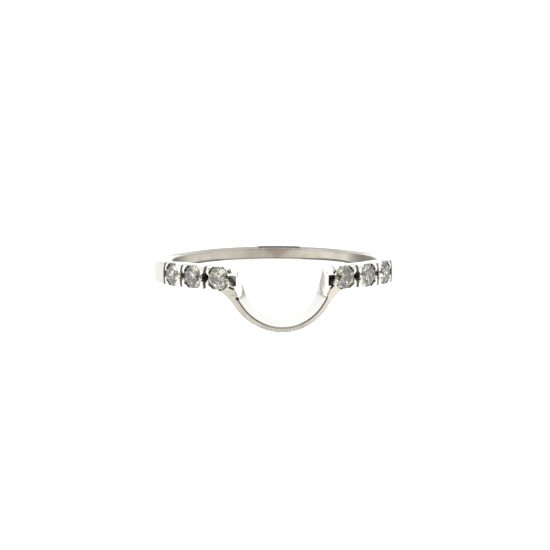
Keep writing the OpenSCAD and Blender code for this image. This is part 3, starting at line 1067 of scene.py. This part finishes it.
diamond, tree, skin = new_material("diamond")
skin.inputs["Transmission Weight"].default_value = 1.0
skin.inputs["IOR"].default_value = 2.42
place = add_node(tree, "ShaderNodeTexCoord").outputs["Object"]
clouds = noise(tree, place, 2500.0, 3.0)
tree.links.new(ranged(tree, clouds, 0.45, 0.75, 0.0, 0.02), skin.inputs["Roughness"])
milky = blend(tree, ranged(tree, clouds, 0.475, 0.55, 0.0, 1.0), CLEAR, CLOUDED)
tree.links.new(milky, skin.inputs["Base Color"])

for name, node in frame["nodes"].items():
    if name != "band":
        node.data.materials.clear()
        node.data.materials.append(diamond)
print("diamonds:", len(frame["nodes"]) - 1)

# %% [markdown]
# ## Floor and light
#
# A mirror shows its surroundings, so polished metal is lit by what stands round it and not by lamps alone.
# A photographer puts a ring in a white tent. Straight above it is brightest. A narrow part of the side that
# the camera stands on is grey, the gap round the lens is dark, and low down behind the ring runs a grey
# band. These draw the thin dark lines along the ring's edges, and all else stays white.
#
# The sky here is such a tent, worked out from the direction alone. The table glows a little, as a light
# table does, so that nothing throws a shadow. A soft lamp stands above, and three small ones make the
# stones sparkle.

# %% Floor
FLOOR_HALF = 1.5

floor_mesh = bpy.data.meshes.new("floor")
floor_corners = [(x * FLOOR_HALF, y * FLOOR_HALF, 0) for x, y in ((-1, -1), (1, -1), (1, 1), (-1, 1))]
floor_mesh.from_pydata(floor_corners, [], [(0, 1, 2, 3)])
floor = bpy.data.objects.new("floor", floor_mesh)
bpy.context.scene.collection.objects.link(floor)

paper, tree, skin = new_material("pale_paper")
skin.inputs["Base Color"].default_value = (0.35, 0.35, 0.35, 1)
skin.inputs["Emission Color"].default_value = (1.0, 1.0, 1.0, 1)
skin.inputs["Emission Strength"].default_value = 0.8
skin.inputs["Roughness"].default_value = 0.9
skin.inputs["Specular IOR Level"].default_value = 0.1
floor_mesh.materials.append(paper)
print("floor:", 2 * FLOOR_HALF, "m wide")

# %% Tent
TOP_WHITE = (1.5, 1.49, 1.46, 1)
SIDE_WHITE = (1.06, 1.055, 1.04, 1)
LOW_GREY = (0.6, 0.61, 0.6, 1)
CAMERA_GREY = (0.1, 0.09, 0.08, 1)
GAP_BLACK = (0.03, 0.03, 0.03, 1)

world = bpy.data.worlds.new("white_tent")
world.use_nodes = True
tree = world.node_tree
direction = add_node(tree, "ShaderNodeTexCoord").outputs["Generated"]
parts = add_node(tree, "ShaderNodeSeparateXYZ", {"Vector": direction}).outputs
towards_camera = maths(tree, "MULTIPLY", parts["Y"], -1.0)

above = ranged(tree, parts["Z"], 0.45, 0.8, 0.0, 1.0)
grey_side = ranged(tree, towards_camera, 0.78, 0.9, 0.0, 1.0)
gap_front = ranged(tree, towards_camera, 0.66, 0.76, 0.0, 1.0)
gap_low = ranged(tree, parts["Z"], 0.1, 0.2, 0.0, 1.0)
gap = maths(tree, "MULTIPLY", gap_front, gap_low)
far_back = ranged(tree, parts["Y"], 0.2, 0.7, 0.0, 1.0)
low_down = ranged(tree, parts["Z"], 0.04, 0.1, 1.0, 0.0)
not_floor = ranged(tree, parts["Z"], 0.025, 0.04, 0.0, 1.0)
back_low = maths(tree, "MULTIPLY", far_back, maths(tree, "MULTIPLY", low_down, not_floor))

colour = blend(tree, above, SIDE_WHITE, TOP_WHITE)
for share, grey in ((back_low, LOW_GREY), (grey_side, CAMERA_GREY), (gap, GAP_BLACK)):
    colour = blend(tree, share, colour, grey)
tree.links.new(colour, tree.nodes["Background"].inputs["Color"])
bpy.context.scene.world = world
bpy.context.scene.view_settings.view_transform = "Standard"
print("tent:", len(tree.nodes), "nodes")


# %% Lamps
# Size in metres and power in watts
TOP_LAMP = (0.25, 0.8)
SPARK = (0.04, 0.12)


def soft_lamp(name, at, size, watts):
    """A square lamp of a size in metres, turned towards the ring."""
    lamp = bpy.data.lights.new(name, "AREA")
    lamp.size = size
    lamp.energy = watts
    piece = bpy.data.objects.new(name, lamp)
    piece.location = at
    piece.rotation_euler = (-Vector(at)).to_track_quat("-Z", "Y").to_euler()
    bpy.context.scene.collection.objects.link(piece)


soft_lamp("top_lamp", (-0.15, 0.1, 0.5), *TOP_LAMP)
soft_lamp("left_spark", (-0.35, -0.25, 0.3), *SPARK)
soft_lamp("right_spark", (0.4, -0.1, 0.25), *SPARK)
soft_lamp("front_spark", (0.1, -0.35, 0.45), *SPARK)
